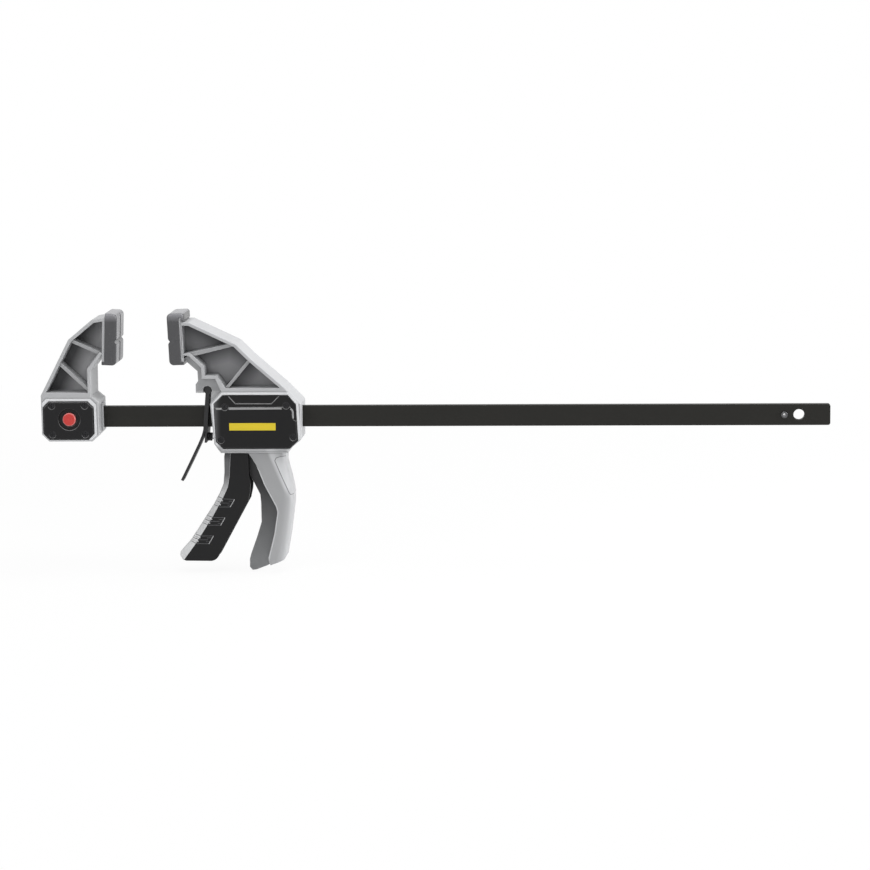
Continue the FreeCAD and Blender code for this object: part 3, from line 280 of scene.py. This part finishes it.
def ribbed_grey(name, lines, run, darker, lighter):
    """A jaw's grey nylon. Painted shadow darkens its sunk web below its rim and ribs, and painted shade
    darkens the tongue of a handle, the handle's front, the arm's front faces and the corners. Painted
    highlight lightens the bead, the palm panel's ridge, the handle's chamfer and the edges, these last partly
    wear.

    The web's painted shadow goes from darker to lighter over the run of distances below its lines.
    """
    rough, corner_shade, ungated = 0.45, 0.55, 0.1
    tongue_foot, tongue_top = (0.215, 0.22, 0.225), (0.013, 0.013, 0.0145)
    graph = Graph(bpy.data.materials.new(name))
    soft, rim = graph.edges(0.0007)
    height = graph.share(graph.place(), "Z")
    across = graph.reckon("ABSOLUTE", graph.share(graph.place(), "Y"))
    facing, above = graph.facing(), graph.span(height, *ABOVE_BLOCK)
    cloud = graph.noise(30, 4, 0.6)
    body = graph.mix(cloud, tone(GREY, 0.96), tone(GREY, 1.04))
    depth = graph.span(cloud, 0.3, 0.7, ungated, ungated + 0.002)
    for line, gate in lines:
        below = graph.below(line)
        if gate:
            below = graph.reckon("ADD", below, graph.span(graph.below(gate), 0.0, -0.0005, 0.0, ungated))
        depth = graph.reckon("MINIMUM", depth, below)
    # Painted shadow: the web is darkest just below its lines and lighter further down
    web = graph.mix(graph.span(depth, *run), shade(darker), shade(lighter))
    # Painted shade: the arm's front faces above the block are darker
    body = graph.mix(graph.times(graph.span(across, *SUNK_FACE), above, facing), body, tone(GREY, 0.72))
    # Painted highlight: the proud bead round the covers is lighter, between the arm and the handle
    bead_highlight = graph.times(graph.span(across, *PROUD_BEAD), graph.span(height, *BELOW_ARM),
                        graph.span(height, *ABOVE_HANDLE), facing)
    body = graph.mix(bead_highlight, body, tone(GREY, 1.6))
    # Painted shade: the handle's front faces are darker, less so towards the bottom
    handle_shade = graph.mix(graph.span(height, *DOWN_HANDLE), tone(GREY, 0.71), tone(GREY, 0.83))
    # Painted highlight: a lighter band along the palm panel's ridge
    panel = graph.below(PALM_EDGE)
    ridge = graph.times(graph.span(panel, *PALM_LIGHT_BEGINS), graph.span(panel, *PALM_LIGHT_ENDS),
                        graph.span(height, *PALM_TOP))
    handle_shade = graph.mix(ridge, handle_shade, tone(GREY, 1.2))
    body = graph.mix(graph.times(graph.span(height, *ON_HANDLE), facing), body, handle_shade)
    body = graph.mix(graph.times(graph.span(across, *DEEP_WEB), above, facing), body, web)
    # Painted shade: the handle's tongue is near black under the housing and lighter towards its foot
    tongue = graph.mix(graph.span(height, *UP_TONGUE), shade(tongue_foot), shade(tongue_top))
    under = graph.span(height, *UNDER_HOUSE)
    narrow = graph.times(graph.span(across, *TONGUE_FACE), graph.span(graph.heading("X"), 0.3, 0.1), under)
    body = graph.mix(narrow, body, tongue)
    # Painted highlight: the handle's chamfer beside the tongue is lighter
    aslant = graph.span(graph.heading_either_way("Y"), 0.6, 0.68)
    chamfer_highlight = graph.times(graph.span(graph.heading("X"), -0.5, -0.6), aslant, under)
    body = graph.mix(chamfer_highlight, body, tone(GREY, 1.45))
    # Painted shade: the body darkens in grooves and inner corners, by the ambient occlusion
    bare = graph.open_share(0.0014)
    body = graph.darken(body, graph.span(bare, 0.5, 0.96, corner_shade, 1.0))
    # Edges lighter partly from wear and partly as painted highlight
    wear_and_highlight = graph.times(rim, graph.span(graph.noise(260), 0.3, 0.7, 0.4, 1.0), graph.span(bare, 0.7, 0.95))
    graph.link(graph.mix(wear_and_highlight, body, tone(GREY, 1.4)), "Base Color")
    graph.gloss(graph.noise(80), rough - 0.04, rough + 0.06)
    graph.grain(graph.noise(1300, 2), 0.1, soft)
    return graph.owner


def button_red(name, colour, painted_light):
    """Glossy red plastic, with a paler painted highlight round its rounded rim."""
    graph = Graph(bpy.data.materials.new(name))
    body = graph.mix(graph.noise(120, 4, 0.6), tone(colour, 0.9), tone(colour, 1.08))
    # Painted highlight: the rounded rim is paler
    rim = graph.span(graph.heading_either_way("Y"), 0.97, 0.75)
    rim = graph.times(rim, graph.span(graph.noise(400), 0.3, 0.6, 0.5, 1.0))
    graph.link(graph.mix(rim, body, shade(painted_light)), "Base Color")
    graph.gloss(graph.noise(300), 0.24, 0.38)
    graph.grain(graph.noise(1800, 2), 0.06)
    return graph.owner


# The heights between which the trigger's strip changes: a painted highlight at its foot, painted shade above
# the fingers, and the housing's painted shadow at its top
STRIP_FOOT = (-0.085, -0.110)
STRIP_SHADED = (-0.066, -0.050)
STRIP_TOP = (-0.0390, -0.0320)


def shaded_grip(name, light, dark, rough):
    """The trigger's light strip, with a painted highlight where the fingers sit and painted shade above them.
    """
    graph = Graph(bpy.data.materials.new(name))
    soft, rim = graph.edges(0.0006)
    height = graph.share(graph.place(), "Z")
    lit_strip = graph.mix(graph.noise(45, 4, 0.6), tone(light, 0.94), tone(light, 1.06))
    # Painted highlight at the strip's foot, painted shade above the fingers and the housing's painted shadow
    # at its top
    lit_strip = graph.mix(graph.span(height, *STRIP_FOOT), lit_strip, tone(light, 1.25))
    body = graph.mix(graph.span(height, *STRIP_SHADED), lit_strip, shade(dark))
    body = graph.mix(graph.span(height, *STRIP_TOP), body, tone(dark, 0.3))
    # Painted shade: the body darkens in grooves and inner corners, by the ambient occlusion
    bare = graph.open_share(0.002)
    body = graph.darken(body, graph.span(bare, 0.35, 0.95, 0.4, 1.0))
    # Edges lighter partly from wear and partly as painted highlight
    wear_and_highlight = graph.times(rim, graph.span(bare, 0.7, 0.95, 0.0, 0.8))
    graph.link(graph.mix(wear_and_highlight, body, tone(light, 1.5)), "Base Color")
    graph.gloss(graph.noise(90), rough - 0.05, rough + 0.06)
    graph.grain(graph.noise(1500, 2), 0.12, soft)
    return graph.owner


def steel(name, colour, rough, metal, along=(6, 260, 260), specular=0.5):
    """Drawn or ground steel, with fine lines along one direction, a few paler patches of wear and a painted
    highlight on its edges.
    """
    mottle = 0.12
    graph = Graph(bpy.data.materials.new(name))
    soft, rim = graph.edges(0.0005)
    drawn = graph.noise(1.0, 5, 0.7, along)
    body = graph.mix(drawn, tone(colour, 1 - mottle), tone(colour, 1 + mottle))
    body = graph.mix(graph.span(graph.noise(18, 4, 0.65), 0.42, 0.7, 0.0, 0.5), body, tone(colour, 1.25))
    # Painted highlight: the edges are lighter
    graph.link(graph.mix(graph.times(rim, 0.7), body, tone(colour, 2.4)), "Base Color")
    graph.gloss(drawn, rough - 0.06, rough + 0.1)
    graph.grain(drawn, 0.08, soft)
    graph.shader.inputs["Metallic"].default_value = metal
    graph.shader.inputs["Specular IOR Level"].default_value = specular
    return graph.owner


def rubber(name, colour, rough, work_side):
    """Firm rubber, dull, with dust in its grain, painted sheen on its work face, painted light on its top and
    the top of its front, painted highlight on its edges and painted shade on its back face.
    """
    brow_height, work_way, back_way = (0.0840, 0.0905), (0.7, 0.95), (-0.7, -0.95)
    graph = Graph(bpy.data.materials.new(name))
    soft, rim = graph.edges(0.0009)
    dust = graph.span(graph.noise(260, 5, 0.6), 0.5, 0.75, 0.0, 0.15)
    body = graph.mix(graph.noise(40), tone(colour, 0.93), tone(colour, 1.07))
    body = graph.mix(dust, body, tone(colour, 1.3))
    # Painted highlight: the top of the front faces is lighter
    brow_highlight = graph.times(graph.span(graph.share(graph.place(), "Z"), *brow_height), graph.facing())
    body = graph.mix(brow_highlight, body, tone(colour, 4.2))
    # Painted shade on the back face and painted sheen on the work face
    painted_light = graph.times(graph.heading("X"), work_side)
    body = graph.mix(graph.span(painted_light, *back_way), body, tone(colour, 0.4))
    body = graph.mix(graph.span(painted_light, *work_way), body, tone(colour, 2.5))
    # Painted light: faces that look up are lighter
    body = graph.mix(graph.span(graph.heading("Z"), 0.5, 0.9), body, tone(colour, 3.6))
    # Painted highlight: the edges are lighter
    graph.link(graph.mix(graph.times(rim, 0.8), body, tone(colour, 1.8)), "Base Color")
    graph.gloss(graph.noise(60), rough - 0.06, rough + 0.06)
    graph.grain(graph.noise(1100, 2), 0.05, soft, 0.0001)
    return graph.owner


def dress(names, material):
    """Gives CAD nodes a better material."""
    for name in names:
        for slot in nodes[name].material_slots:
            slot.material = material


def surface_of(node):
    """A node's mesh, ready for rays."""
    mesh = nodes[node].data
    spots = [vertex.co for vertex in mesh.vertices]
    return BVHTree.FromPolygons(spots, [face.vertices for face in mesh.polygons])


def lay_line(name, trees, points, side, radius, sunk, body, material):
    """A fine round line laid on the surfaces that a ray along Y meets first, through points in XZ."""
    outside, wide = 0.03, 0.001
    spots = []
    for (ax, az), (bx, bz) in zip(points, points[1:]):
        steps = max(1, round(math.hypot(bx - ax, bz - az)))
        spots += [(ax + (bx - ax) * step / steps, az + (bz - az) * step / steps) for step in range(steps)]
    spots.append(points[-1])
    found = []
    for x, z in spots:
        start = Vector((x * MM, side * outside, z * MM))
        hits = [tree.ray_cast(start, Vector((0, -side, 0)))[0] for tree in trees]
        hits = [hit for hit in hits if hit is not None]
        if hits:
            nearest = max(hits, key=lambda hit: side * hit.y)
            found.append(nearest - Vector((0, side * sunk, 0)))
    curve = bpy.data.curves.new(name, "CURVE")
    curve.dimensions = "3D"
    curve.bevel_depth = radius
    curve.bevel_resolution = 2 if radius < wide else 6
    curve.use_fill_caps = True
    spline = curve.splines.new("POLY")
    spline.points.add(len(found) - 1)
    for point, spot in zip(spline.points, found):
        point.co = (*spot, 1)
    line = bpy.data.objects.new(name, curve)
    scene.collection.objects.link(line)
    curve.materials.append(material)
    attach(line, body)


# The trigger's combs: for each, where its top and bottom lines start on the grip's front and end behind
COMBS = [
    ((82.7, -68.5), (88.2, -71.0), (97.5, -71.4), (78.9, -75.3), (84.4, -78.1), (93.6, -78.1)),
    ((73.0, -85.3), (78.6, -87.4), (88.8, -87.5), (69.1, -91.7), (74.7, -94.1), (84.9, -94.1)),
    ((62.1, -101.6), (67.9, -103.6), (78.4, -103.5), (58.2, -107.5), (64.0, -110.4), (74.2, -110.5)),
]


def blend(first, second, share):
    return tuple(a + (b - a) * share for a, b in zip(first, second))


def add_combs(material, bright):
    """Raised lines that wrap from the grip strip on to the trigger's flanks."""
    trees = [surface_of("trigger"), surface_of("trigger_grip")]
    for side, flank in SIDES:
        for number, comb in enumerate(COMBS, 1):
            top, low = comb[:3], comb[3:]
            for share in (0.25, 0.75):
                ridge = [blend(top[0], low[0], share), blend(top[1], low[1], share)]
                lay_line(f"ridge_{flank}_{number}_{int(share * 4)}", trees, ridge, side, 0.0006, 0.00035,
                         "trigger", bright)
            for row in range(3):
                share = row / 2
                start, bend, end = [blend(a, b, share) for a, b in zip(top, low)]
                reach = blend(bend, end, 0.72) if row == 1 else end
                lay_line(f"comb_{flank}_{number}_{row}", trees, [start, bend, reach], side, 0.00026, 0.00008,
                         "trigger", material)
            lay_line(f"comb_{flank}_{number}_end", trees, [top[2], low[2]], side, 0.0003, 0.00006,
                     "trigger", bright)
            for tick in range(2):
                share = 0.25 + tick * 0.5
                outer = blend(top[2], low[2], share)
                inner = blend(blend(top[1], low[1], share), outer, 0.55 + 0.1 * tick)
                lay_line(f"comb_{flank}_{number}_tick_{tick}", trees, [inner, outer], side, 0.0002, 0.00006,
                         "trigger", material)


def add_frame_lines(material):
    """The palm panel's outline and the seam beside the moving pad."""
    trees = [surface_of("head_frame")]
    panel = [(143.6, -33.2), (138.2, -33.4), (135.0, -34.4), (133.8, -36.8), (139.6, -51.0), (145.6, -65.4),
             (146.6, -66.8), (149.6, -66.6)]
    seam = [(55.7, 86.4), (56.4, 52.7)]
    for side, flank in SIDES:
        lay_line(f"pad_seam_{flank}", trees, seam, side, 0.0003, 0.00015, "head", material)
        lay_line(f"palm_line_{flank}", trees, panel, side, 0.00034, 0.00012, "head", material)


# Each spring's body, the joint that shortens it, its axis, its fixed end and its moving end's travel, in mm
SPRINGS = [
    ("drive_spring", "head", "drive_slide", (1, 0, 0), (150.3, 0, 0), 5.4),
    ("brake_spring", "head", "release_hinge", (1, 0, 0), (84.24, 0, -17.98), 2.7),
    ("button_spring", "bar", "lock_button_slide", (0, 1, 0), (-43, -4.6, 0), 6.25),
]


def add_springs():
    """Copies of the springs, in the shapes that they have at rest, carried by their bodies in place of the
    originals.
    """
    for node, body, joint, axis, anchor, travel in SPRINGS:
        spring = nodes[node].copy()
        spring.data = nodes[node].data.copy()
        spring.name = f"{node}_coil"
        scene.collection.objects.link(spring)
        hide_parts(node)
        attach(spring, body)
        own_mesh(spring)


# The edges of the head covers' sunk band, on the front alone, and of the tray in it, all with a painted
# highlight: each one's points in mm, its radius and how deep its middle lies
COVER_EDGES = [
    ("ledge_left", [(84.4, 8.7), (89.2, 8.8)], 0.0010, 0.0007),
    ("ledge", [(95.4, 8.8), (141.0, 9.0)], 0.0013, 0.0010),
    ("ledge_right", [(148.6, 8.6), (150.0, 7.4), (150.4, 6.0), (150.5, 0.4)], 0.0009, 0.0006),
    ("tray", [(95.4, 19.3), (101.0, 13.1), (132.2, 13.0), (138.6, 19.3)], 0.00024, 0.00012),
]


def add_cover_lines(material):
    """Edges with a painted highlight on the head's two covers."""
    for side, flank, edges in ((-1, "front", COVER_EDGES), (1, "back", COVER_EDGES[-1:])):
        trees = [surface_of(f"head_cover_{flank}")]
        for name, points, radius, sunk in edges:
            lay_line(f"{name}_{flank}", trees, points, side, radius, sunk, "head", material)


def thicken(node, by):
    """Lets a thin strip look as thick as it is: its faces are joined, then moved out along their normals."""
    weld = nodes[node].modifiers.new("join_faces", "WELD")
    weld.merge_threshold = 0.00001
    swell = nodes[node].modifiers.new("swell", "DISPLACE")
    swell.strength = by
    swell.mid_level = 0


def add_shell(name, rings, caps, material):
    """A piece with walls between rings of corners, and a face across each ring that caps gives."""
    mesh = bpy.data.meshes.new(name)
    builder = bmesh.new()
    rings = [[builder.verts.new(corner) for corner in ring] for ring in rings]
    for cap in caps:
        builder.faces.new(rings[cap])
    for low, high in zip(rings, rings[1:]):
        for index in range(len(low)):
            following = (index + 1) % len(low)
            builder.faces.new((low[index], low[following], high[following], high[index]))
    if len(rings) > 1:
        bmesh.ops.recalc_face_normals(builder, faces=builder.faces)
    builder.to_mesh(mesh)
    builder.free()
    mesh.materials.append(material)
    shell = bpy.data.objects.new(name, mesh)
    scene.collection.objects.link(shell)
    return shell


def add_gussets(material):
    """The side walls that join the head's lug to the corner of its housing, beside the brake plate."""
    corners = [(79.25, 12.9), (79.9, 22.4), (88.2, 22.4), (79.9, 12.9)]
    inner, outer = 11.0, 12.98
    for side, flank in SIDES:
        rings = [[(x * MM, side * y * MM, z * MM) for x, z in corners] for y in (inner, outer)]
        wall = add_shell(f"lug_wall_{flank}", rings, (0, 1), material)
        bevel = wall.modifiers.new("soft_edges", "BEVEL")
        bevel.width = 0.0003
        bevel.segments = 2
        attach(wall, "head")


def add_stripe(material):
    """A thin bare stripe on the head's front cover."""
    corners = [(95.5, -3.6), (135.5, -3.6), (135.5, -9.9), (95.5, -9.9)]
    centre_x, centre_z = [sum(part) / len(corners) for part in zip(*corners)]
    face_y, thick, fold = -0.0190, 0.00025, 0.00022
    rings = []
    for y, shrink in ((face_y, 0), (face_y - thick + fold / 2, 0), (face_y - thick, fold)):
        ring = []
        for x, z in corners:
            inward_x = math.copysign(shrink, centre_x - x)
            inward_z = math.copysign(shrink, centre_z - z)
            ring.append((x * MM + inward_x, y, z * MM + inward_z))
        rings.append(ring)
    stripe = add_shell("cover_stripe", rings, (-1,), material)
    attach(stripe, "head")


def add_floor():
    """A pale floor under the part that takes its shadow and fades to plain white around it."""
    half, low = 6.0, cad_box[0][2] - 0.0015
    fade_from, fade_to, least = 0.5, 1.2, 0.93
    graph = Graph(bpy.data.materials.new("pale_floor"))
    graph.shader.inputs["Base Color"].default_value = (0.86, 0.86, 0.86, 1)
    graph.shader.inputs["Roughness"].default_value = 0.9
    glow = graph.add("Emission", {"Color": (1, 1, 1, 1), "Strength": 1.0})
    away = graph.add("VectorMath", {0: graph.place()}, operation="LENGTH").outputs["Value"]
    share = graph.times(graph.plain_rays(), graph.span(away, fade_from, fade_to, least, 1.0))
    joined = graph.add("MixShader", {"Fac": share, 1: graph.shader.outputs[0], 2: glow.outputs[0]})
    graph.tree.links.new(joined.outputs[0], graph.tree.nodes["Material Output"].inputs["Surface"])
    corners = [(x, y, low) for x, y in ((-half, -half), (half, -half), (half, half), (-half, half))]
    add_shell("floor", [corners], (0,), graph.owner)


def light_world():
    """A white world, which the camera sees at full strength and the part by less."""
    world = bpy.data.worlds.new("studio")
    scene.world = world
    graph = Graph(world)
    back = graph.tree.nodes["Background"]
    graph.tree.links.new(graph.span(graph.plain_rays(), 0.0, 1.0, 0.4, 1.0), back.inputs["Strength"])
    back.inputs["Color"].default_value = (1, 1, 1, 1)


aim_camera()
scene.view_settings.view_transform = "Standard"
add_floor()
light_world()
add_light("key_light", (0.5, -0.2, 1.8), (0.1, 0, 0), (1.4, 1.0), 21)
add_light("right_light", (1.9, -0.15, 0.55), (0.1, 0, 0), (0.9, 1.3), 24)
add_light("left_light", (-0.6, -1.1, 0.7), (-0.03, 0, 0), (0.6, 0.8), 3.4)

dress(["bar"], steel("dark_bar_steel", (0.010, 0.0095, 0.0075), 0.5, 0.1, specular=0.3))
dress(["stop_pin"], steel("dark_pin_steel", (0.10, 0.10, 0.102), 0.3, 0.8, (60, 60, 60)))
dress(["button_clip", "trigger_pivot_pin", "drive_plates"],
      steel("plain_steel", (0.42, 0.42, 0.43), 0.32, 0.95, (260, 260, 10)))
dress(["drive_spring", "brake_spring", "button_spring"],
      steel("spring_wire", (0.33, 0.33, 0.35), 0.3, 0.95, (40, 40, 40)))
dress(["release_lever", "brake_plate"],
      steel("black_lever", (0.014, 0.014, 0.015), 0.45, 0.2, (200, 200, 8)))
dress(["fixed_cover_screws", "head_cover_screws"],
      steel("black_screw", (0.02, 0.02, 0.022), 0.26, 0.6, (90, 90, 90)))
dress(["fixed_jaw_frame"], ribbed_grey("grey_nylon_fixed", FIXED_LINES, (0.0, 0.0135),
                                       (0.035, 0.036, 0.039), (0.36, 0.36, 0.37)))
dress(["head_frame"], ribbed_grey("grey_nylon_head", HEAD_LINES, (0.0025, 0.016),
                                  (0.062, 0.063, 0.068), (0.285, 0.285, 0.295)))
# The covers' edges are lighter partly from wear and partly as painted highlight, strongest where they look up
cover_look = {"specular": 0.22, "radius": 0.0012, "wear_and_highlight_colour": (0.45, 0.45, 0.455), "upward": True}
dress(["fixed_cover_front", "fixed_cover_back", "brake_spring_cup"],
      moulded("black_cover", tone(BLACK, 1.3), 0.4, **cover_look))
dress(["head_cover_front", "head_cover_back"],
      moulded("black_head_cover", BLACK, 0.4, sheen=(0.0890, 0.0815), **cover_look))
dress(["trigger"], moulded("black_trigger", BLACK, 0.42, edge=9, specular=0.25))
dress(["trigger_grip"], shaded_grip("light_grip", (0.54, 0.545, 0.55), (0.12, 0.12, 0.125), 0.48))
dress(["fixed_jaw_pad"], rubber("grey_pad", PAD_GREY, 0.27, 1.0))
dress(["moving_jaw_pad"], rubber("grey_pad_moving", PAD_GREY, 0.27, -1.0))
dress(["lock_button"], button_red("red_button", (0.57, 0.035, 0.028), (0.85, 0.30, 0.29)))
add_combs(moulded("comb_line", (0.085, 0.085, 0.09), 0.35, edge=1.6, radius=0.0002),
          moulded("comb_end", (0.5, 0.5, 0.51), 0.35, edge=1.4, radius=0.0002))
add_frame_lines(moulded("palm_line", (0.16, 0.16, 0.165), 0.5, edge=1.2, radius=0.0002))
add_gussets(nodes["head_frame"].material_slots[0].material)
add_cover_lines(moulded("cover_edge_highlight", (0.30, 0.30, 0.305), 0.35, edge=1.1, radius=0.0002))
thicken("release_lever", 0.0005)
add_springs()
add_stripe(moulded("yellow_stripe", (0.72, 0.55, 0.012), 0.42, edge=1.1, radius=0.0002))
